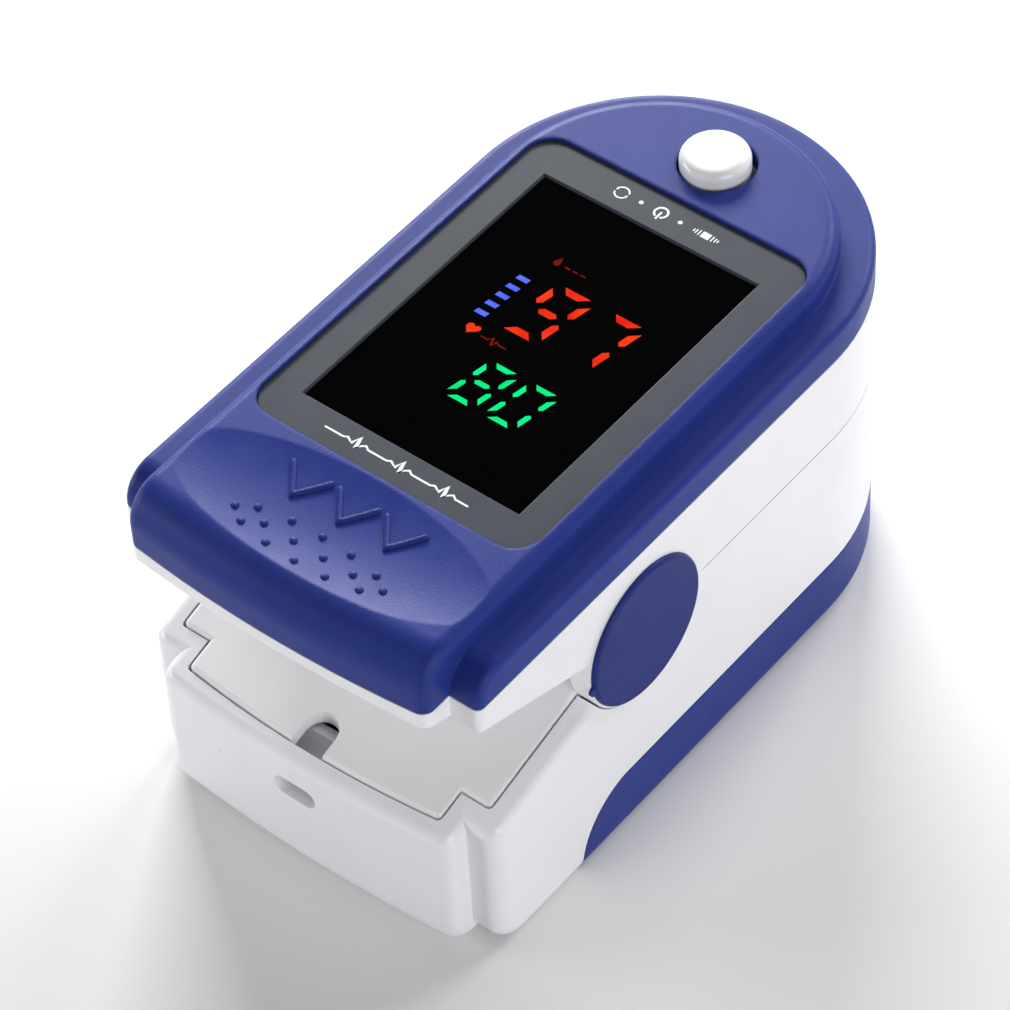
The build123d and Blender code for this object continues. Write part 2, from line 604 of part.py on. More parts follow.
def upper_inner_cover():
    """Mirror of the lower inner cover: mouth plate, flange and finger trough."""
    bottom = PARTING_Z + PARTING_GAP
    footprint = prism(upper_plan(WALL + INNER_GAP), bottom, COVER_SEAM_Z - 0.3)
    slab = footprint & sloping_slab(upper_v, -SLAB_PROUD, SLAB - SLAB_PROUD, -9.6)
    flange = footprint & block((-FAR, FAR), (-11.2, FAR), (bottom, bottom + FLANGE))
    shell = upper_half(tunnel(TROUGH_WALL)) & prism(upper_plan(0.1), 0, FAR)
    cover = flange + slab + shell
    for x, y in UPPER_REAR_SCREWS:
        cover += rod_z(SCREW_BOSS_R, x, y, (bottom, REAR_BOSS_Z - 0.1))
        cover -= rod_z(SCREW_HOLE_R + 0.1, x, y, (bottom - 1, REAR_BOSS_Z + 1))
        cover -= rod_z(SCREW_HEAD_R + 0.1, x, y, (bottom - 1, bottom + SCREW_HEAD + 0.15))
    for x, y in UPPER_FRONT_SCREWS:
        cover += rod_z(SCREW_BOSS_R, x, y, (upper_v(y) + 0.7, upper_v(y) + FRONT_BOSS))
        cover -= rod_z(SCREW_HOLE_R + 0.1, x, y, (upper_v(y) - 3, upper_v(y) + 3))
        head_top = upper_v(y) + FRONT_HEAD_RISE + SCREW_HEAD
        cover -= rod_z(SCREW_HEAD_R + 0.1, x, y, (upper_v(y) - 3, head_top + 0.1))
    cover -= tunnel(PAD_THICKNESS) + entry_flare()
    return cover - hinge_pockets() - ribbon_slot() - sensor_hole((22, 26))


# ---------------------------------------------------------------- hinge
def hinge_pin(side):
    pin = disc_x(PIN_R, (COIL_X[0] - 0.2, CAP_BACK_X - 0.05))
    pin = chamfer(pin.edges().filter_by(GeomType.CIRCLE), 0.15)
    return pin if side > 0 else mirror(pin, about=Plane.YZ)


def hinge_cap(side):
    """Round blue cap whose stub is pressed on the pin's outer end."""
    cap = disc_x(CAP_R, (CAP_BACK_X, CAP_FACE_X))
    cap = fillet(cap.faces().sort_by(Axis.X)[-1].edges(), CAP_ROUNDING)
    gate_x = (CAP_BACK_X, CAP_BACK_X + 0.25)
    cap += disc_x(GATE_STUB_R, gate_x, HINGE_Y + GATE_STUB[0], HINGE_Z + GATE_STUB[1])
    cap += disc_x(CAP_STUB_R, (CAP_STUB_X, CAP_BACK_X + 0.1))
    cap -= disc_x(PIN_R + 0.02, (CAP_STUB_X - 1, CAP_BACK_X))
    return cap if side > 0 else mirror(cap, about=Plane.YZ)


def coil(radius, end_radius, length, turns, wire):
    """A coil of round wire about +Z from z = 0."""
    cone = degrees(atan((end_radius - radius) / length))
    path = Helix(length / turns, length, radius, cone_angle=cone)
    return sweep(Plane(path @ 0, z_dir=path % 0) * Circle(wire), path=path)


def spring_leg(x, z, end_z):
    """Straight leg of a hinge spring, from the coil back towards the finger end."""
    start = Vector(x, HINGE_Y + 0.05, z)
    run = Vector(x, SPRING_LEG_Y, end_z) - start
    leg = Cylinder(SPRING_WIRE_R, run.length, align=(Align.CENTER, Align.CENTER, Align.MIN))
    return Plane(start, z_dir=run) * leg


def hinge_spring(side):
    """Torsion spring round the pin; both legs reach back and squeeze the finger end shut."""
    winding = coil(COIL_R, COIL_R, COIL_X[1] - COIL_X[0], COIL_TURNS, SPRING_WIRE_R)
    winding = Pos(COIL_X[0], HINGE_Y, HINGE_Z) * (Plane.YZ * (Rot(0, 0, 90) * winding))
    upper_leg = spring_leg(COIL_X[0], HINGE_Z + COIL_R, PARTING_Z + PARTING_GAP + FLANGE + 0.35)
    lower_leg = spring_leg(COIL_X[1], HINGE_Z - COIL_R, PARTING_Z - PARTING_GAP - FLANGE - 0.35)
    spring = Compound(children=[winding, upper_leg, lower_leg])
    return spring if side > 0 else mirror(spring, about=Plane.YZ)


# ---------------------------------------------------------------- power
def battery(x, positive_at_front):
    """AAA cell along Y with its raised positive end."""
    on_end = (Align.CENTER, Align.CENTER, Align.MIN)
    can = Cylinder(CELL_R, CELL_LENGTH - CELL_NUB, align=on_end)
    can = fillet(can.edges(), 0.5)
    cell = can + Pos(0, 0, CELL_LENGTH - CELL_NUB) * Cylinder(CELL_NUB_R, CELL_NUB, align=on_end)
    if positive_at_front:
        return Pos(x, CELL_FRONT_Y + CELL_LENGTH, CELL_Z) * (Rot(90, 0, 0) * cell)
    return Pos(x, CELL_FRONT_Y, CELL_Z) * (Rot(-90, 0, 0) * cell)


CONTACT = 0.3
CONTACT_REACH = 1.85                       # from a contact plate's face to the cell, less a hair
CONTACT_Z = (3.0, 11.0)


def contact_spring(x, start_y, toward):
    """Conical spring that presses on a cell's flat end; toward is +1 or -1 along Y."""
    wire = 0.2
    body = coil(2.9, 2.0, CONTACT_REACH - 2 * wire + 0.05, 2.5, wire)
    turn = Rot(-90, 0, 0) if toward > 0 else Rot(90, 0, 0)
    return Pos(x, start_y + (wire - 0.05) * toward, CELL_Z) * (turn * body)


def contact_bump(x, start_y, toward):
    """Pressed dimple that meets a cell's raised end."""
    height = CONTACT_REACH
    bump = Cone(2.2, 1.5, height, align=(Align.CENTER, Align.CENTER, Align.MIN))
    turn = Rot(-90, 0, 0) if toward > 0 else Rot(90, 0, 0)
    return Pos(x, start_y, CELL_Z) * (turn * bump)


def battery_bridge():
    """Front contact that joins the two cells."""
    back = BAY_FRONT_Y + 0.05
    face = back + CONTACT
    plate = block((-9.4, 9.4), (back, face), CONTACT_Z)
    return plate + contact_spring(CELL_X, face, 1) + contact_bump(-CELL_X, face, 1)


def terminal_plate(x):
    return block((x - 3.1, x + 3.1), (BAY_BACK_Y - 0.05 - CONTACT, BAY_BACK_Y - 0.05), CONTACT_Z)


def positive_terminal():
    face = BAY_BACK_Y - 0.05 - CONTACT
    return terminal_plate(CELL_X) + contact_bump(CELL_X, face, -1)


def negative_terminal():
    face = BAY_BACK_Y - 0.05 - CONTACT
    return terminal_plate(-CELL_X) + contact_spring(-CELL_X, face, -1)


# ---------------------------------------------------------------- electronics
def main_board():
    """Circuit board under the display and the button."""
    half = BOARD_HALF
    front = BOARD_FRONT_Y
    sides = Polyline((half, ROUND_Y), (half, front), (-half, front), (-half, ROUND_Y))
    end = ThreePointArc((-half, ROUND_Y), (0, ROUND_Y + half), (half, ROUND_Y))
    board = prism(make_face(Curve() + [sides, end]), *BOARD_Z)
    for x, y in UPPER_REAR_SCREWS:
        board -= rod_z(SCREW_BOSS_R + 0.2, x, y, (20, 30))
    return board


def display_module():
    """Light-emitting display block that stands on the board behind the window."""
    return window_block(1.05, (BOARD_Z[1] + 0.02, PANEL_BACK_Z - 0.15))


def chip(x, y, width, length):
    """Surface-mounted package on the underside of the main board."""
    z = (BOARD_Z[0] - CHIP_HEIGHT, BOARD_Z[0] - 0.02)
    body = block((x - width / 2, x + width / 2), (y - length / 2, y + length / 2), z)
    return chamfer(body.faces().sort_by(Axis.Z)[0].edges(), 0.15)


SWITCH_Z = (27.12, 28.8)
SWITCH_HALF = 2.2
PLUNGER_R = 0.95
PLUNGER_Z = (28.2, 29.3)
PLUNGER_TOP_Z = PLUNGER_Z[1]
KEY_FLANGE_Z = 29.95
KEY_ROUNDING = 0.75
KEY_STEM_R = 1.3


def tact_switch():
    half = SWITCH_HALF
    body = block((-half, half), (BUTTON_Y - half, BUTTON_Y + half), SWITCH_Z)
    return body - rod_z(PLUNGER_R + 0.1, 0, BUTTON_Y, (PLUNGER_Z[0] - 0.6, FAR))


def switch_plunger():
    return rod_z(PLUNGER_R, 0, BUTTON_Y, PLUNGER_Z)


def power_button():
    """White key with a retaining flange under the cover and a stem to the switch."""
    key = rod_z(BUTTON_R, KEY_X, BUTTON_Y, (KEY_FLANGE_Z + 0.1, BUTTON_TOP_Z))
    key = fillet(key.faces().sort_by(Axis.Z)[-1].edges(), KEY_ROUNDING)
    key += rod_z(BUTTON_R + 0.8, KEY_X, BUTTON_Y, (KEY_FLANGE_Z, TOP_Z - ISLAND_WALL - 0.08))
    return key + rod_z(KEY_STEM_R, 0, BUTTON_Y, (PLUNGER_TOP_Z, KEY_FLANGE_Z + 0.2))


def sensor_package(size, z):
    half = size / 2
    return block((-half, half), (SENSOR_Y - half, SENSOR_Y + half), z)


def sensor_board(z):
    return block((-4.5, 4.5), (SENSOR_Y - 7.5, SENSOR_Y + 7.5), z)


TROUGH_FLOOR_Z = PARTING_Z - TUNNEL_HALF_HEIGHT        # finger side of the lower pad
TROUGH_ROOF_Z = PARTING_Z + TUNNEL_HALF_HEIGHT
LENS = 0.85
EMITTER_BOARD_Z = (25.06, 25.66)


def ribbon_cable():
    """Flat cable from the sensor board, up through the hinge line, to the main board."""
    low = WEB_Z[1] + 0.25
    high = BOARD_Z[0] - 0.2
    lower_end, upper_end = RIBBON_END_Y
    points = [(0, lower_end, low), (0, RIBBON_Y, low), (0, RIBBON_Y, high), (0, upper_end, high)]
    path = FilletPolyline(*points, radius=1.0)
    strip = Rectangle(2 * RIBBON_HALF_WIDTH, RIBBON_THICKNESS)
    return sweep(Plane(path @ 0, x_dir=(1, 0, 0), z_dir=path % 0) * strip, path=path)


def screw(x, y, head_z, tip_z):
    """Self-tapping screw with its head at head_z and a cross recess."""
    up = 1 if tip_z > head_z else -1
    under_head = head_z + up * SCREW_HEAD
    body = rod_z(SCREW_HEAD_R, x, y, sorted((head_z, under_head)))
    body += rod_z(SCREW_R, x, y, sorted((under_head - up * 0.1, tip_z)))
    recess_z = sorted((head_z - up, head_z + up * 0.4))
    body -= block((x - 0.85, x + 0.85), (y - 0.18, y + 0.18), recess_z)
    return body - block((x - 0.18, x + 0.18), (y - 0.85, y + 0.85), recess_z)


def lower_screws():
    """Screws up from the battery bay into the lower inner cover."""
    top = PARTING_Z - PARTING_GAP
    screws = []
    for x, y in LOWER_SCREWS:
        tip = min(lower_v(y) - 0.3, top - 0.3) - 0.6
        screws.append(screw(x, y, WEB_Z[0] - 0.05 - SCREW_HEAD, tip))
    return Compound(children=screws)


def upper_screws():
    """Screws up from the upper inner cover into the blue cover."""
    bottom = PARTING_Z + PARTING_GAP
    screws = [screw(x, y, bottom + 0.12, LEDGE_Z - 1.2) for x, y in UPPER_REAR_SCREWS]
    for x, y in UPPER_FRONT_SCREWS:
        screws.append(screw(x, y, upper_v(y) + FRONT_HEAD_RISE, TOP_Z - ISLAND_WALL - 1.2))
    return Compound(children=screws)


# ---------------------------------------------------------------- write every node
PARTS = {
    "lower_case": lower_case,
    "lower_inner_cover": lower_inner_cover,
    "lower_finger_pad": lower_finger_pad,
    "battery_cover": battery_cover,
    "battery_left": lambda: battery(-CELL_X, True),
    "battery_right": lambda: battery(CELL_X, False),
    "battery_bridge": battery_bridge,
    "positive_terminal": positive_terminal,
    "negative_terminal": negative_terminal,
    "sensor_board": lambda: sensor_board((WEB_Z[1] + 0.1, WEB_Z[1] + 0.7)),
    "photodiode": lambda: sensor_package(4.4, (WEB_Z[1] + 0.7, TROUGH_FLOOR_Z - PAD_THICKNESS - 0.1)),
    "sensor_window": lambda: sensor_package(5.9, (TROUGH_FLOOR_Z - 0.1 - LENS, TROUGH_FLOOR_Z - 0.1)),
    "hinge_pin_left": lambda: hinge_pin(-1),
    "hinge_pin_right": lambda: hinge_pin(1),
    "hinge_cap_left": lambda: hinge_cap(-1),
    "hinge_cap_right": lambda: hinge_cap(1),
    "hinge_spring_left": lambda: hinge_spring(-1),
    "hinge_spring_right": lambda: hinge_spring(1),
    "lower_screws": lower_screws,
    "top_cover": top_cover,
    "face_panel": face_panel,
    "display_window": display_window,
    "display_module": display_module,
    "main_board": main_board,
    "microcontroller": lambda: chip(0, 17.5, 7, 7),
    "signal_amplifier": lambda: chip(-7.0, -3.0, 4, 5),
    "tact_switch": tact_switch,
    "switch_plunger": switch_plunger,
    "power_button": power_button,
    "upper_case": upper_case,
    "upper_inner_cover": upper_inner_cover,
    "upper_finger_pad": upper_finger_pad,
    "emitter_board": lambda: sensor_board(EMITTER_BOARD_Z),
    "light_emitter": lambda: sensor_package(3.2, (TROUGH_ROOF_Z + PAD_THICKNESS + 0.1, EMITTER_BOARD_Z[0])),
    "emitter_window": lambda: sensor_package(5.9, (TROUGH_ROOF_Z + 0.1, TROUGH_ROOF_Z + 0.1 + LENS)),
    "upper_screws": upper_screws,
    "ribbon_cable": ribbon_cable,
}

for part_name, make in PARTS.items():
    save(make(), part_name)
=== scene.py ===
import json
import math
import bmesh
import bpy
from mathutils import Euler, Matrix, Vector
from mathutils.bvhtree import BVHTree


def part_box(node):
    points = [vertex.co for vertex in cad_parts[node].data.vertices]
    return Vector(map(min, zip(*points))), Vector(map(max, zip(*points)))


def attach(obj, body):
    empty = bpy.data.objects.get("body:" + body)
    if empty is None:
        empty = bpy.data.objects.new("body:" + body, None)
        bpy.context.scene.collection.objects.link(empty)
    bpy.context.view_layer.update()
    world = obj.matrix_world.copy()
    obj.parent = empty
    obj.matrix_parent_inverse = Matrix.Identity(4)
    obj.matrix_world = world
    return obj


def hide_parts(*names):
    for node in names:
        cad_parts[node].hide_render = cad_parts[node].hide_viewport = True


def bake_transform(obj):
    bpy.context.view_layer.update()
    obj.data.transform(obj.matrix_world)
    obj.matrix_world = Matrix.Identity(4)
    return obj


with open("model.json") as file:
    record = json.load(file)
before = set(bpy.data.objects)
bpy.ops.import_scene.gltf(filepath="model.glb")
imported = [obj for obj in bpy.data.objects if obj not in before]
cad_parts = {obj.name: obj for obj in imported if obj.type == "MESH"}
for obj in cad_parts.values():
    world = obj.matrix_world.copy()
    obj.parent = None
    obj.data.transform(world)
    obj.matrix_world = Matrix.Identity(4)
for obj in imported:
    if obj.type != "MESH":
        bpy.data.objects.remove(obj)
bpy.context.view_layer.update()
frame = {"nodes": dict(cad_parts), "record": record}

nodes = frame["nodes"]

MM = 0.001
PRINT_SUNK = 0.05                          # printed and lit shapes start this far under their surface
PRINT_PROUD = 0.012                        # and end this far above it, in millimetres
SUNK = 0.06                                # how far raised dots and beads reach into their surface
BEAD_SPACING = 0.25                        # distance between the stations of a raised bead
MITRE_LIMIT = 1.1                          # a line's corners are mitred up to this half-turn, in radians
TIP_HALF_WIDTH = 0.004                     # a rounded line end narrows to this


# ---------------------------------------------------------------- mesh helpers
def piece(name, mesh, material, body, smooth=True):
    """A finished bmesh as an object that rides on a body."""
    bmesh.ops.recalc_face_normals(mesh, faces=mesh.faces)
    data = bpy.data.meshes.new(name)
    mesh.to_mesh(data)
    mesh.free()
    for polygon in data.polygons:
        polygon.use_smooth = smooth
    data.materials.append(material)
    made = bpy.data.objects.new(name, data)
    bpy.context.scene.collection.objects.link(made)
    if body:
        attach(made, body)
    return made


def surface_of(node):
    """A function that gives the height of a node's top surface at a point, in metres."""
    graph = bpy.context.evaluated_depsgraph_get()
    tree = BVHTree.FromObject(nodes[node], graph)
    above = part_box(node)[1].z + 0.01

    def height(x, y):
        return tree.ray_cast(Vector((x, y, above)), Vector((0, 0, -1)))[0].z

    return height


def join_rows(mesh, rows):
    """Skin over a run of closed loops of vertices, with a face at each end."""
    count = len(rows[0])
    for row, after in zip(rows, rows[1:]):
        for k in range(count):
            mesh.faces.new((row[k], row[(k + 1) % count], after[(k + 1) % count], after[k]))
    mesh.faces.new(rows[0])
    mesh.faces.new(rows[-1])


def extrude_outline(mesh, outline, low, high):
    """A closed prism over a flat outline of (x, y) points in millimetres, between two heights."""
    bottom = [mesh.verts.new((x * MM, y * MM, low)) for x, y in outline]
    top = [mesh.verts.new((x * MM, y * MM, high)) for x, y in outline]
    mesh.faces.new(list(reversed(bottom)))
    mesh.faces.new(top)
    for index in range(len(outline)):
        after = (index + 1) % len(outline)
        mesh.faces.new((bottom[index], bottom[after], top[after], top[index]))


def arc(centre, radius, start, finish, steps=24):
    """Points along an arc, angles in degrees anticlockwise from +X."""
    angles = [math.radians(start + (finish - start) * k / steps) for k in range(steps + 1)]
    return [(centre[0] + radius * math.cos(a), centre[1] + radius * math.sin(a)) for a in angles]


def resample(points, spacing):
    """The same line with extra points, so that it can follow a curved surface."""
    line = [points[0]]
    for (x0, y0), (x1, y1) in zip(points, points[1:]):
        count = max(1, round(math.hypot(x1 - x0, y1 - y0) / spacing))
        line += [(x0 + (x1 - x0) * k / count, y0 + (y1 - y0) * k / count) for k in range(1, count + 1)]
    return line


def stroke_stations(points, half):
    """(x, y, normal, half-width) along a line, with round ends."""
    stations = []
    last = len(points) - 1
    for index, (x, y) in enumerate(points):
        before = points[max(index - 1, 0)]
        after = points[min(index + 1, last)]
        run = Vector((after[0] - before[0], after[1] - before[1])).normalized()
        into = Vector((x - before[0], y - before[1]))
        out = Vector((after[0] - x, after[1] - y))
        turn = into.angle(out) / 2 if into.length and out.length else 0.0
        stations.append((x, y, Vector((-run.y, run.x)), half / math.cos(min(turn, MITRE_LIMIT))))
    round_steps = 6
    ends = []
    for end, inner, order in ((0, 1, 1), (last, last - 1, -1)):
        run = Vector(points[end]) - Vector(points[inner])
        run.normalize()
        normal = stations[end][2]
        cap = []
        for k in range(1, round_steps + 1):
            angle = math.pi / 2 * k / round_steps
            x = points[end][0] + run.x * half * math.sin(angle)
            y = points[end][1] + run.y * half * math.sin(angle)
            cap.append((x, y, normal, max(half * math.cos(angle), TIP_HALF_WIDTH)))
        ends.append(cap[::-1] if order == 1 else cap)
    return ends[0] + stations + ends[1]


def flat_stroke(mesh, points, width, low, high):
    """A printed line of one width, as a thin closed strip."""
    stations = stroke_stations(points, width / 2)
    rows = []
    for x, y, normal, half in stations:
        left = (x + normal.x * half, y + normal.y * half)
        right = (x - normal.x * half, y - normal.y * half)
        corners = ((*left, low), (*left, high), (*right, high), (*right, low))
        rows.append([mesh.verts.new((px * MM, py * MM, z)) for px, py, z in corners])
    join_rows(mesh, rows)


def raised_stroke(mesh, points, width, rise, height):
    """A moulded bead of half-round section that follows the surface given by height(x, y)."""
    across = 10
    half = width / 2
    rows = []
    for x, y, normal, reach in stroke_stations(resample(points, BEAD_SPACING), half):
        row = []
        for k in range(across + 1):
            angle = math.pi * k / across
            px = x + normal.x * reach * math.cos(angle)
            py = y + normal.y * reach * math.cos(angle)
            lift = rise * math.sin(angle) * min(1.0, reach / half) - SUNK
            row.append(mesh.verts.new((px * MM, py * MM, height(px * MM, py * MM) + lift * MM)))
        rows.append(row)
    join_rows(mesh, rows)


def dome(mesh, x, y, radius, rise, height):
    """A raised dot on the surface given by height(x, y)."""
    around, rings = 20, 6
    levels = []
    for ring in range(rings):
        angle = math.pi / 2 * ring / rings
        loop = []
        for k in range(around):
            turn = 2 * math.pi * k / around
            px = x + radius * math.cos(angle) * math.cos(turn)
            py = y + radius * math.cos(angle) * math.sin(turn)
            z = height(px * MM, py * MM) + (rise * math.sin(angle) - SUNK) * MM
            loop.append(mesh.verts.new((px * MM, py * MM, z)))
        levels.append(loop)
    tip = mesh.verts.new((x * MM, y * MM, height(x * MM, y * MM) + (rise - SUNK) * MM))
    for low, high in zip(levels, levels[1:]):
        for k in range(around):
            mesh.faces.new((low[k], low[(k + 1) % around], high[(k + 1) % around], high[k]))
    for k in range(around):
        mesh.faces.new((levels[-1][k], levels[-1][(k + 1) % around], tip))
    mesh.faces.new(levels[0])


def tube(mesh, path, radius, around=10):
    """A round wire along a list of points in metres, closed at both ends."""
    rows = []
    last = len(path) - 1
    side = None
    for index, point in enumerate(path):
        run = (path[min(index + 1, last)] - path[max(index - 1, 0)]).normalized()
        side = run.orthogonal() if side is None else side - run * side.dot(run)
        side.normalize()
        other = run.cross(side)
        row = []
        for k in range(around):
            angle = 2 * math.pi * k / around
            row.append(mesh.verts.new(point + (side * math.cos(angle) + other * math.sin(angle)) * radius))
        rows.append(row)
    join_rows(mesh, rows)


# ---------------------------------------------------------------- material helpers
class Look:
    """One material under construction: a Principled shader and the nodes that feed it."""

    def __init__(self, name, colour, roughness, **sockets):
        self.material = bpy.data.materials.new(name)
        self.material.use_nodes = True
        self.tree = self.material.node_tree
        self.shader = self.tree.nodes["Principled BSDF"]
        self.shader.inputs["Base Color"].default_value = (*colour, 1)
        self.shader.inputs["Roughness"].default_value = roughness
        for socket, value in sockets.items():
            self.shader.inputs[socket.replace("_", " ")].default_value = value
        self.place = self.tree.nodes.new("ShaderNodeTexCoord").outputs["Object"]
        self.normal = None

    def node(self, kind, inputs=None, **settings):
        made = self.tree.nodes.new(kind)
        for setting, value in settings.items():
            setattr(made, setting, value)
        for socket, value in (inputs or {}).items():
            if isinstance(value, bpy.types.NodeSocket):
                self.tree.links.new(value, made.inputs[socket])
            else:
                made.inputs[socket].default_value = value
        return made

    def noise(self, size_mm, detail=2.0, roughness=0.5):
        """Noise whose features are about size_mm across."""
        inputs = {"Vector": self.place, "Scale": 1 / (size_mm * MM), "Detail": detail, "Roughness": roughness}
        return self.node("ShaderNodeTexNoise", inputs).outputs["Fac"]

    def ramp(self, value, low, high, out_low, out_high):
        inputs = {"Value": value, "From Min": low, "From Max": high, "To Min": out_low, "To Max": out_high}
        return self.node("ShaderNodeMapRange", inputs).outputs["Result"]

    def mix(self, factor, first, second):
        made = self.node("ShaderNodeMix", {0: factor}, data_type="RGBA")
        for socket, colour in ((6, first), (7, second)):
            if isinstance(colour, bpy.types.NodeSocket):
                self.tree.links.new(colour, made.inputs[socket])
            else:
                made.inputs[socket].default_value = (*colour, 1)
        return made.outputs[2]

    def feed(self, socket, value):
        self.tree.links.new(value, self.shader.inputs[socket])

    def soften(self, radius_mm):
        """Rounds the light on sharp edges, as a real moulding's small radii do."""
        self.normal = self.node("ShaderNodeBevel", {"Radius": radius_mm * MM}, samples=4).outputs["Normal"]

    def bump(self, value, depth_mm, strength=1.0):
        inputs = {"Height": value, "Distance": depth_mm * MM, "Strength": strength}
        if self.normal:
            inputs["Normal"] = self.normal
        self.normal = self.node("ShaderNodeBump", inputs).outputs["Normal"]

    def done(self):
        if self.normal:
            self.feed("Normal", self.normal)
        return self.material


def moulded(name, colour, roughness, tint, grain_mm, grain_depth, speckle=0.0, edge=0.0, **sockets):
    """Moulded plastic: faint cloudy tint, uneven gloss and a fine surface grain."""
    look = Look(name, colour, roughness, **sockets)
    cloud = look.ramp(look.noise(6.0, 3.0), 0.3, 0.7, 0.0, 1.0)
    speck = look.ramp(look.noise(grain_mm, 1.0), 0.60, 0.75, 0.0, speckle)
    base = look.mix(cloud, colour, tint)
    look.feed("Base Color", look.mix(speck, base, [min(1.0, c * 1.35 + 0.01) for c in colour]))
    look.feed("Roughness", look.ramp(look.noise(2.5, 4.0), 0.25, 0.75, roughness - 0.05, roughness + 0.05))
    if edge:
        look.soften(edge)
    look.bump(look.noise(grain_mm, 2.0, 0.6), grain_depth)
    return look.done()


def metal(name, colour, roughness, grain_mm=0.08):
    """Plated steel with faint drawing lines along Y."""
    look = Look(name, colour, roughness, Metallic=1.0)
    stretch = {"Vector": look.place, "Scale": (1.0, 0.06, 1.0)}
    look.place = look.node("ShaderNodeMapping", stretch).outputs["Vector"]
    streak = look.noise(grain_mm, 3.0)
    look.feed("Roughness", look.ramp(streak, 0.2, 0.8, roughness - 0.08, roughness + 0.12))
    look.feed("Base Color", look.mix(streak, colour, [c * 0.82 for c in colour]))
    look.bump(streak, 0.004)
    return look.done()


def lit(name, deep, bright, strength):
    """A lit display segment: colour and brightness vary a little along it."""
    look = Look(name, (0.004, 0.004, 0.004), 0.3, Specular_IOR_Level=0.0)
    glow = look.ramp(look.noise(1.6, 1.0), 0.3, 0.7, 0.0, 1.0)
    colour = look.mix(glow, deep, bright)
    look.feed("Emission Color", colour)
    look.shader.inputs["Emission Strength"].default_value = strength
    return look.done()


def cell_sleeve(name, node, positive_toward):
    """Shrink sleeve of a cell: dark body, a lighter band near the positive end, bare metal ends."""
    low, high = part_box(node)
    look = Look(name, (0.02, 0.02, 0.025), 0.32, Coat_Weight=0.3)
    along = look.node("ShaderNodeSeparateXYZ", {"Vector": look.place}).outputs["Y"]
    nub, rim, band = 0.8 * MM, 0.9 * MM, 9.0 * MM
    if positive_toward > 0:
        positive, negative, sign = high.y - nub, low.y, -1
    else:
        positive, negative, sign = low.y + nub, high.y, 1
    hair = 0.05 * MM
    in_band = look.ramp(along, positive + sign * (band - hair), positive + sign * (band + hair), 1.0, 0.0)
    at_positive = look.ramp(along, positive + sign * (rim - hair), positive + sign * (rim + hair), 1.0, 0.0)
    at_negative = look.ramp(along, negative - sign * (rim - hair), negative - sign * (rim + hair), 1.0, 0.0)
    bare = look.node("ShaderNodeMath", {0: at_positive, 1: at_negative}, operation="MAXIMUM").outputs[0]
    sleeve = look.mix(in_band, (0.02, 0.022, 0.03), (0.62, 0.33, 0.10))
    look.feed("Base Color", look.mix(bare, sleeve, (0.62, 0.61, 0.58)))
    look.feed("Metallic", bare)
    look.feed("Roughness", look.ramp(look.noise(1.2, 3.0), 0.3, 0.7, 0.24, 0.38))
    look.bump(look.noise(0.6, 2.0), 0.01)
    return look.done()


def circuit_board(name):
    """Green solder resist with copper tracks showing through it."""
    look = Look(name, (0.01, 0.09, 0.035), 0.35, Coat_Weight=0.4)
    cells = look.node("ShaderNodeTexBrick", {
        "Vector": look.place, "Scale": 1 / (3.2 * MM), "Mortar Size": 0.035, "Mortar Smooth": 0.1,
        "Color1": (0, 0, 0, 1), "Color2": (0, 0, 0, 1), "Mortar": (1, 1, 1, 1),
    })
    track = cells.outputs["Fac"]
    look.feed("Base Color", look.mix(track, (0.008, 0.075, 0.03), (0.03, 0.2, 0.07)))
    look.bump(track, 0.03)
    look.bump(look.noise(0.4, 2.0), 0.004)
    return look.done()


def flat_cable(name):
    """Orange film with copper conductors running along it."""
    look = Look(name, (0.55, 0.2, 0.03), 0.3, Coat_Weight=0.5)
    lines = look.node("ShaderNodeTexWave", {
        "Vector": look.place, "Scale": 1 / (1.6 * MM) / 2, "Distortion": 0.0,
    }, bands_direction="X").outputs["Fac"]
    copper = look.ramp(lines, 0.45, 0.55, 0.0, 1.0)
    look.feed("Base Color", look.mix(copper, (0.42, 0.14, 0.02), (0.75, 0.38, 0.12)))
    look.bump(copper, 0.02)
    return look.done()


def clear_lens(name, colour):
    """Clear epoxy over a sensor, slightly cloudy."""
    look = Look(name, colour, 0.12, Transmission_Weight=0.7, IOR=1.5)
    look.feed("Roughness", look.ramp(look.noise(0.8, 2.0), 0.3, 0.7, 0.06, 0.18))
    return look.done()


def silicone(name):
    look = Look(name, (0.50, 0.52, 0.55), 0.62, Subsurface_Weight=0.15, Sheen_Weight=0.2)
    look.shader.inputs["Subsurface Scale"].default_value = 1.0 * MM
    cloud = look.noise(4.0, 3.0)
    look.feed("Base Color", look.mix(cloud, (0.46, 0.48, 0.51), (0.56, 0.58, 0.60)))
    look.feed("Roughness", look.ramp(look.noise(1.0, 3.0), 0.3, 0.7, 0.55, 0.72))
    look.bump(look.noise(0.12, 2.0), 0.01)
    return look.done()


def smoked_window(name):
    """Near-black acrylic with a polished face and the faintest waviness."""
    look = Look(name, (0.0010, 0.0010, 0.0012), 0.05, Specular_IOR_Level=0.03)
    look.feed("Roughness", look.ramp(look.noise(5.0, 2.0), 0.3, 0.7, 0.04, 0.06))
    darker, lighter = (0.0008, 0.0008, 0.0010), (0.0012, 0.0012, 0.0014)
    look.feed("Base Color", look.mix(look.noise(3.0, 2.0), darker, lighter))
    look.bump(look.noise(6.0, 1.0), 0.0008)
    return look.done()


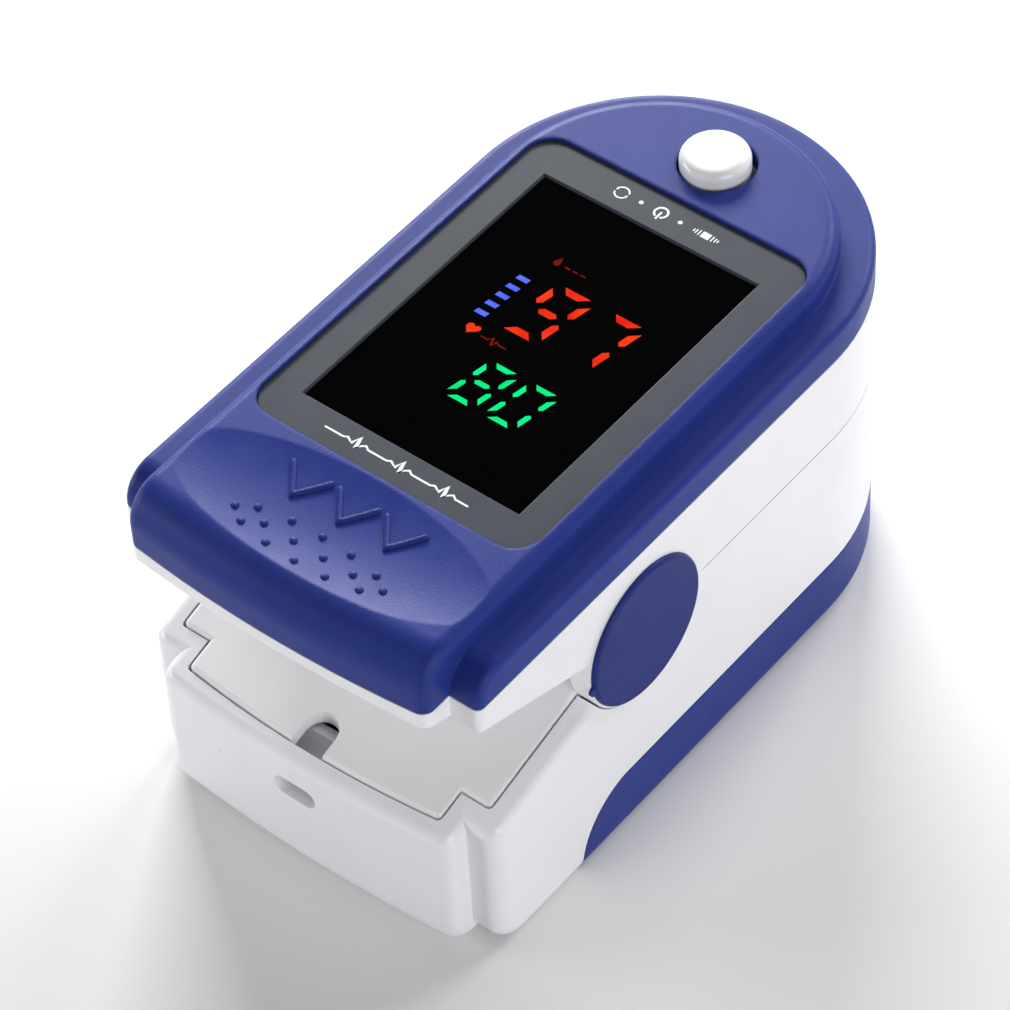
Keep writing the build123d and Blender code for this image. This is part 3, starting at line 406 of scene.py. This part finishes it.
BLUE = (0.017, 0.033, 0.215)
CAP_BLUE = (0.016, 0.028, 0.165)
materials = {
    "blue_cover": moulded(
        "blue_textured_plastic", BLUE, 0.42, (0.020, 0.037, 0.232), 0.14, 0.014,
        speckle=0.2, edge=0.35, Specular_IOR_Level=0.15,
    ),
    "blue_cap": moulded(
        "blue_smooth_plastic", CAP_BLUE, 0.42, (0.018, 0.030, 0.175), 0.10, 0.003,
        edge=0.12, Specular_IOR_Level=0.1,
    ),
    "white_shell": moulded("white_gloss_plastic", (0.83, 0.83, 0.86), 0.32, (0.80, 0.80, 0.84), 0.3, 0.003),
    "white_inner": moulded("white_satin_plastic", (0.82, 0.82, 0.83), 0.38, (0.79, 0.79, 0.81), 0.25, 0.004),
    "white_button": moulded("white_key_plastic", (0.88, 0.88, 0.89), 0.24, (0.86, 0.86, 0.88), 0.3, 0.002),
    "panel_grey": moulded(
        "grey_printed_panel", (0.036, 0.043, 0.056), 0.42, (0.039, 0.047, 0.060), 0.08, 0.002,
        edge=0.08, Specular_IOR_Level=0.15,
    ),
    "smoked_window": smoked_window("smoked_window"),
    "display_black": moulded("display_epoxy", (0.01, 0.01, 0.01), 0.35, (0.013, 0.013, 0.013), 0.2, 0.003),
    "silicone": silicone("finger_pad_silicone"),
    "contact_metal": metal("nickel_plate", (0.66, 0.64, 0.58), 0.25),
    "steel": metal("zinc_plated_steel", (0.56, 0.57, 0.6), 0.3),
    "circuit_board": circuit_board("solder_resist"),
    "chip_black": moulded("chip_epoxy", (0.018, 0.018, 0.019), 0.5, (0.024, 0.024, 0.025), 0.08, 0.006),
    "clear_lens": clear_lens("clear_epoxy", (0.85, 0.87, 0.9)),
    "ribbon": flat_cable("polyimide_ribbon"),
}
cell_materials = {
    "battery_left": cell_sleeve("cell_sleeve_left", "battery_left", -1),
    "battery_right": cell_sleeve("cell_sleeve_right", "battery_right", 1),
}
white_print = moulded("white_print", (0.80, 0.82, 0.84), 0.55, (0.76, 0.78, 0.80), 0.2, 0.001)
lit_red = lit("lit_red", (0.80, 0.012, 0.002), (1.0, 0.05, 0.006), 1.0)
lit_red_dim = lit("lit_red_dim", (0.30, 0.004, 0.002), (0.55, 0.006, 0.003), 0.5)
lit_green = lit("lit_green", (0.0, 0.85, 0.22), (0.0, 1.0, 0.32), 1.0)
lit_blue = lit("lit_blue", (0.08, 0.12, 1.0), (0.13, 0.20, 1.0), 1.0)


def dress_frame():
    """Each CAD node takes the material of its slot."""
    for entry in frame["record"]["subparts"]:
        node = nodes[entry["node"]]
        material = cell_materials.get(entry["node"]) or materials[entry["material_slot"]]
        node.data.materials.clear()
        node.data.materials.append(material)


# ---------------------------------------------------------------- thumb grip
DOT_PITCH = 1.32
DOT_RADIUS = 0.33
DOT_RISE = 0.27
DOT_ROW_Y = -24.92
DOT_BOW = 1.5                              # how far the two curved rows stand off the straight one
DOT_LAST = 5                               # columns each side of the middle
CHEVRON_X = (-4.2, 0.0, 4.2)
CHEVRON_HALF = 1.7
CHEVRON_Y = (-19.5, -21.7)                 # open end and tip
CHEVRON_WIDTH = 0.5
CHEVRON_RISE = 0.3


def thumb_dots():
    """Raised dots in a lens-shaped field: one straight row between two bowed ones."""
    mesh = bmesh.new()
    height = surface_of("top_cover")
    for column in range(-DOT_LAST, DOT_LAST + 1):
        x = column * DOT_PITCH
        if column % 2:
            dome(mesh, x, DOT_ROW_Y, DOT_RADIUS, DOT_RISE, height)
        else:
            bow = DOT_BOW * math.sqrt(1 - (column / DOT_LAST) ** 2)
            for y in (DOT_ROW_Y + bow, DOT_ROW_Y - bow):
                dome(mesh, x, y, DOT_RADIUS, DOT_RISE, height)
    return piece("thumb_dots", mesh, materials["blue_cover"], "upper_jaw")


def push_mark():
    """Three raised chevrons that point at the end to press."""
    mesh = bmesh.new()
    height = surface_of("top_cover")
    open_y, tip_y = CHEVRON_Y
    for middle in CHEVRON_X:
        points = [(middle - CHEVRON_HALF, open_y), (middle, tip_y), (middle + CHEVRON_HALF, open_y)]
        raised_stroke(mesh, points, CHEVRON_WIDTH, CHEVRON_RISE, height)
    return piece("push_mark", mesh, materials["blue_cover"], "upper_jaw")


# ---------------------------------------------------------------- print on the panel
TRACE_Y = -15.6
TRACE_X = (-6.3, 6.4)
TRACE_BEATS = (-3.6, 0.3, 4.2)
TRACE_WIDTH = 0.16
BEAT_SHAPE = (                             # one beat of the trace, about its peak
    (-1.1, 0), (-0.8, 0.16), (-0.5, 0), (-0.25, -0.14), (0, 0.62),
    (0.28, -0.36), (0.5, 0), (0.8, 0.22), (1.15, 0),
)
ICON_Y = 15.1
ROTATE_X, POWER_X, ALARM_X = -3.94, -0.35, 3.7
ROTATE_R = 0.56
ROTATE_WIDTH = 0.13
POWER_R = 0.52
POWER_WIDTH = 0.17
POWER_BAR = 0.68
SPACER_X = (-2.18, 1.37)                   # dots between the icons
SPACER_R = 0.18
BELL_HALF = (0.36, 0.3)
RING_MARKS = ((0.58, 0.24), (0.84, 0.17), (1.06, 0.1))   # distance from the bell, half height
RING_WIDTH = 0.1


def print_layer(node):
    """Bottom and top height of a thin shape laid on a node's top face."""
    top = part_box(node)[1].z
    return top - PRINT_SUNK * MM, top + PRINT_PROUD * MM


def pulse_trace(mesh, low, high):
    trace = [(TRACE_X[0], 0)]
    for beat in TRACE_BEATS:
        trace += [(beat + x, y) for x, y in BEAT_SHAPE]
    trace.append((TRACE_X[1], 0))
    flat_stroke(mesh, [(x, TRACE_Y + y) for x, y in trace], TRACE_WIDTH, low, high)


def rotate_icon(mesh, low, high):
    """Two arcs that chase each other, each with an arrow head."""
    centre = (ROTATE_X, ICON_Y)
    for start in (20, 200):
        flat_stroke(mesh, arc(centre, ROTATE_R, start, start + 135), ROTATE_WIDTH, low, high)
        tip = arc(centre, ROTATE_R, start + 135, start + 160, 1)[1]
        barb = [arc(centre, radius, start + 132, start + 132, 1)[0] for radius in (0.42, 0.70)]
        extrude_outline(mesh, [*barb, tip], low, high)


def power_icon(mesh, low, high):
    """A circle with a short bar from its centre."""
    centre = (POWER_X, ICON_Y)
    flat_stroke(mesh, arc(centre, POWER_R, -60, 240, 40), POWER_WIDTH, low, high)
    flat_stroke(mesh, [centre, (POWER_X, ICON_Y - POWER_BAR)], POWER_WIDTH, low, high)


def alarm_icon(mesh, low, high):
    """A block with sound marks that shrink away from it on both sides."""
    half_x, half_y = BELL_HALF
    corners = ((-half_x, -half_y), (half_x, -half_y), (half_x, half_y), (-half_x, half_y))
    extrude_outline(mesh, [(ALARM_X + x, ICON_Y + y) for x, y in corners], low, high)
    for side in (-1, 1):
        for reach, tall in RING_MARKS:
            x = ALARM_X + side * reach
            flat_stroke(mesh, [(x, ICON_Y - tall), (x, ICON_Y + tall)], RING_WIDTH, low, high)


def panel_print():
    """White print: a pulse trace, and symbols for rotate, power and alarm."""
    mesh = bmesh.new()
    low, high = print_layer("face_panel")
    pulse_trace(mesh, low, high)
    rotate_icon(mesh, low, high)
    for x in SPACER_X:
        extrude_outline(mesh, arc((x, ICON_Y), SPACER_R, 0, 345, 23), low, high)
    power_icon(mesh, low, high)
    alarm_icon(mesh, low, high)
    return piece("panel_print", mesh, white_print, "upper_jaw", smooth=False)


# ---------------------------------------------------------------- lit display
CORNER_GAP = 0.235                         # gaps between a digit's bars, as shares of its half height
MIDDLE_GAP = 0.17
DIGIT_SLANT = 0.187                        # how far a digit leans per unit of height
SEGMENTS = {                               # which of the seven bars are lit, named a to g
    "9": "abcdfg", "7": "abc", "8": "abcdefg", "0": "abcdef",
}


def digit_bars(half_width, half_height, thick):
    """Outlines of a seven-segment digit's bars about its centre, before it leans."""
    t = thick / 2
    w, h = half_width, half_height
    g, m = CORNER_GAP * h, MIDDLE_GAP * h

    def along(y, out):
        """A lying bar at height y, its long side facing out (+1 up, -1 down, 0 both)."""
        if out == 0:
            return [
                (-w + g + t, y + t), (w - g - t, y + t), (w - g, y),
                (w - g - t, y - t), (-w + g + t, y - t), (-w + g, y),
            ]
        return [
            (-w - t + g, y + out * t), (w + t - g, y + out * t),
            (w - t - g, y - out * t), (-w + t + g, y - out * t),
        ]

    def upright(side, low, high):
        """A standing bar, its long side facing out, from the middle bar to the far one."""
        far, near = (high, low) if high > 0 else (low, high)
        sign = 1 if far > 0 else -1
        return [
            (side * (w + t), far + sign * (t - g)), (side * (w - t), far - sign * (t + g)),
            (side * (w - t), near + sign * (t + m)), (side * w, near + sign * m),
            (side * (w + t), near + sign * (t + m)),
        ]

    return {
        "a": along(h, 1), "g": along(0, 0), "d": along(-h, -1),
        "b": upright(1, 0, h), "c": upright(1, -h, 0), "e": upright(-1, -h, 0), "f": upright(-1, 0, h),
    }


def reading(name, text, material, first, pitch, half_width, half_height, thick):
    """A row of lit digits, the first one centred at (x, y)."""
    low, high = print_layer("display_window")
    bars = digit_bars(half_width, half_height, thick)
    mesh = bmesh.new()
    for place, figure in enumerate(text):
        centre_x = first[0] + place * pitch
        for bar in SEGMENTS[figure]:
            outline = [(centre_x + x + DIGIT_SLANT * y, first[1] + y) for x, y in bars[bar]]
            extrude_outline(mesh, outline, low, high)
    piece(name, mesh, material, "upper_jaw", smooth=False)


def signal_bars():
    """Five slanted bars in a column that leans with the digits."""
    low, high = print_layer("display_window")
    mesh = bmesh.new()
    for index in range(5):
        x, y = -4.37 - 0.08 * index, 4.02 - 1.09 * index
        corners = ((-0.5, -0.22), (0.5, -0.22), (0.57, 0.22), (-0.43, 0.22))
        extrude_outline(mesh, [(x + dx, y + dy) for dx, dy in corners], low, high)
    piece("lit_signal_bars", mesh, lit_blue, "upper_jaw", smooth=False)


def heart_sign():
    low, high = print_layer("display_window")
    (centre_x, centre_y), size, steps = (-4.2, -1.95), 0.036, 36
    mesh = bmesh.new()
    heart = []
    for k in range(steps):
        a = 2 * math.pi * k / steps
        x = 16 * math.sin(a) ** 3
        y = 13 * math.cos(a) - 5 * math.cos(2 * a) - 2 * math.cos(3 * a) - math.cos(4 * a)
        heart.append((centre_x + size * x + DIGIT_SLANT * size * y, centre_y + size * y))
    extrude_outline(mesh, heart, low, high)
    piece("lit_heart", mesh, lit_red, "upper_jaw", smooth=False)


def small_signs():
    """A beat beside the heart, and a drop with three dashes above the upper reading."""
    low, high = print_layer("display_window")
    beat_y, dash_y = -2.2, 6.75
    mesh = bmesh.new()
    beat = [(-3.2, 0), (-2.6, 0), (-2.35, 0.35), (-2.1, -0.3), (-1.85, 0.2), (-1.7, 0), (-1.0, 0)]
    flat_stroke(mesh, [(x, beat_y + y) for x, y in beat], 0.12, low, high)
    drop = arc((-3.4, dash_y), 0.28, -200, 20, 16) + [(-3.32, 7.4)]
    extrude_outline(mesh, drop, low, high)
    for index in range(3):
        x = -2.6 + 0.7 * index
        flat_stroke(mesh, [(x, dash_y), (x + 0.35, dash_y)], 0.14, low, high)
    piece("lit_small_signs", mesh, lit_red_dim, "upper_jaw", smooth=False)


def lit_display():
    """Everything that shines through the smoked window."""
    reading("lit_upper_reading", "97", lit_red, (-0.76, 2.28), 4.55, 1.42, 2.57, 0.62)
    reading("lit_lower_reading", "80", lit_green, (-0.17, -5.87), 3.58, 1.14, 2.02, 0.44)
    signal_bars()
    heart_sign()
    small_signs()


# ---------------------------------------------------------------- hinge springs and ribbon
COIL_X = (10.5, 12.3)                      # the coil's ends, in millimetres from the middle
COIL_R = 2.3
COIL_TURNS = 2.5
COIL_STEPS = 90
SPRING_WIRE_R = 0.25
LEG_Y = 4.0
UPPER_LEG_Z, LOWER_LEG_Z = 20.95, 18.11
RIBBON_Y = -8.5
RIBBON_THICKNESS = 0.3
RIBBON_BEND = 1.0
BEND_STEP = 15                             # degrees between points round the ribbon's bends


def hinge_spring(side, node):
    """Torsion spring: the coil winds up between the lower leg and the upper leg."""
    low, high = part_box("hinge_pin_left" if side < 0 else "hinge_pin_right")
    axis_y, axis_z = (low.y + high.y) / 2, (low.z + high.z) / 2
    inner, outer = COIL_X[0] * MM, COIL_X[1] * MM
    radius, leg_y = COIL_R * MM, LEG_Y * MM
    path = []
    for k in range(COIL_STEPS + 1):
        share = k / COIL_STEPS
        angle = math.pi / 2 + 2 * math.pi * COIL_TURNS * share
        x = inner + (outer - inner) * share
        path.append(Vector((side * x, axis_y + radius * math.cos(angle), axis_z + radius * math.sin(angle))))
    upper_end = Vector((side * inner, leg_y, UPPER_LEG_Z * MM))
    lower_end = Vector((side * outer, leg_y, LOWER_LEG_Z * MM))
    path = [upper_end, upper_end.lerp(path[0], 0.5)] + path + [lower_end.lerp(path[-1], 0.5), lower_end]
    mesh = bmesh.new()
    tube(mesh, path, SPRING_WIRE_R * MM)
    spring = piece(node.replace("hinge_spring", "torsion_spring"), mesh, materials["steel"], None)
    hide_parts(node)
    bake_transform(spring)


def ribbon():
    """Flat cable that bends where it crosses the hinge line."""
    low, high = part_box("ribbon_cable")
    half, thick = (high.x - low.x) / 2, RIBBON_THICKNESS * MM
    run_y, bend = RIBBON_Y * MM, RIBBON_BEND * MM
    low_z, high_z = low.z + thick / 2, high.z - thick / 2
    centre = [(high.y, low_z), (run_y + bend, low_z)]
    for k in range(1, 7):
        a = math.radians(BEND_STEP * k)
        centre.append((run_y + bend - bend * math.sin(a), low_z + bend - bend * math.cos(a)))
    for k in range(1, 30):
        centre.append((run_y, low_z + bend + (high_z - low_z - 2 * bend) * k / 30))
    for k in range(7):
        a = math.radians(BEND_STEP * k)
        centre.append((run_y - bend + bend * math.cos(a), high_z - bend + bend * math.sin(a)))
    centre.append((low.y, high_z))
    mesh = bmesh.new()
    rows = []
    for index, (y, z) in enumerate(centre):
        before, after = centre[max(index - 1, 0)], centre[min(index + 1, len(centre) - 1)]
        run = Vector((after[0] - before[0], after[1] - before[1])).normalized()
        ny, nz = -run.y * thick / 2, run.x * thick / 2
        upper, lower = (y + ny, z + nz), (y - ny, z - nz)
        corners = ((-half, *upper), (half, *upper), (half, *lower), (-half, *lower))
        rows.append([mesh.verts.new(corner) for corner in corners])
    join_rows(mesh, rows)
    cable = piece("ribbon_strip", mesh, materials["ribbon"], None, smooth=False)
    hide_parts("ribbon_cable")
    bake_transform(cable)


# ---------------------------------------------------------------- studio
FLOOR_HALF = 3.0
LIGHT_TARGET = (0, 0, 0.015)
WORLD_STRENGTH = 0.15
LENS, SENSOR = 163.27, 36
CAMERA_ELEVATION, CAMERA_AZIMUTH, CAMERA_ROLL = 47.64, 41.37, -3.69
CAMERA_AT = (0.14783, -0.17230, 0.26348)


def studio_floor():
    mesh = bmesh.new()
    outline = ((-1, -1), (1, -1), (1, 1), (-1, 1))
    mesh.faces.new([mesh.verts.new((x * FLOOR_HALF, y * FLOOR_HALF, 0)) for x, y in outline])
    look = Look("studio_floor", (0.8, 0.8, 0.8), 0.8)
    look.feed("Roughness", look.ramp(look.noise(20.0, 2.0), 0.3, 0.7, 0.75, 0.85))
    data = bpy.data.meshes.new("studio_floor")
    mesh.to_mesh(data)
    mesh.free()
    data.materials.append(look.done())
    floor = bpy.data.objects.new("studio_floor", data)
    bpy.context.scene.collection.objects.link(floor)


def softbox(name, at, size, power):
    """A white rectangular light that faces the middle of the object."""
    light = bpy.data.lights.new(name, "AREA")
    light.shape = "RECTANGLE"
    light.size, light.size_y = size
    light.energy = power
    made = bpy.data.objects.new(name, light)
    made.location = at
    made.rotation_mode = "QUATERNION"
    made.rotation_quaternion = (Vector(LIGHT_TARGET) - Vector(at)).to_track_quat("-Z", "Y")
    bpy.context.scene.collection.objects.link(made)


def studio_lights():
    softbox("softbox_back_left", (-0.46, 0.46, 0.30), (0.34, 0.16), 6.8)
    softbox("softbox_back", (0.06, 0.66, 0.42), (0.5, 0.2), 4.2)
    softbox("softbox_right", (0.60, -0.22, 0.26), (0.35, 0.30), 2.3)
    softbox("softbox_left", (-0.58, -0.36, 0.16), (0.35, 0.2), 2.4)
    world = bpy.data.worlds.new("studio")
    world.use_nodes = True
    background = world.node_tree.nodes["Background"]
    background.inputs["Color"].default_value = (1, 1, 1, 1)
    background.inputs["Strength"].default_value = WORLD_STRENGTH
    bpy.context.scene.world = world


def studio_camera():
    """Long lens from the front right, well above the object."""
    camera = bpy.data.cameras.new("camera")
    camera.lens = LENS
    camera.sensor_width = SENSOR
    camera.clip_start, camera.clip_end = 0.01, 10
    made = bpy.data.objects.new("camera", camera)
    elevation, azimuth = math.radians(CAMERA_ELEVATION), math.radians(CAMERA_AZIMUTH)
    roll = math.radians(CAMERA_ROLL)
    aim = Euler((math.pi / 2 - elevation, 0, azimuth)).to_matrix() @ Euler((0, 0, roll)).to_matrix()
    made.rotation_euler = aim.to_euler()
    made.location = CAMERA_AT
    bpy.context.scene.collection.objects.link(made)
    bpy.context.scene.camera = made


dress_frame()
thumb_dots()
push_mark()
panel_print()
lit_display()
hinge_spring(-1, "hinge_spring_left")
hinge_spring(1, "hinge_spring_right")
ribbon()
studio_floor()
studio_lights()
studio_camera()
bpy.context.scene.view_settings.view_transform = "Standard"
bpy.context.view_layer.update()
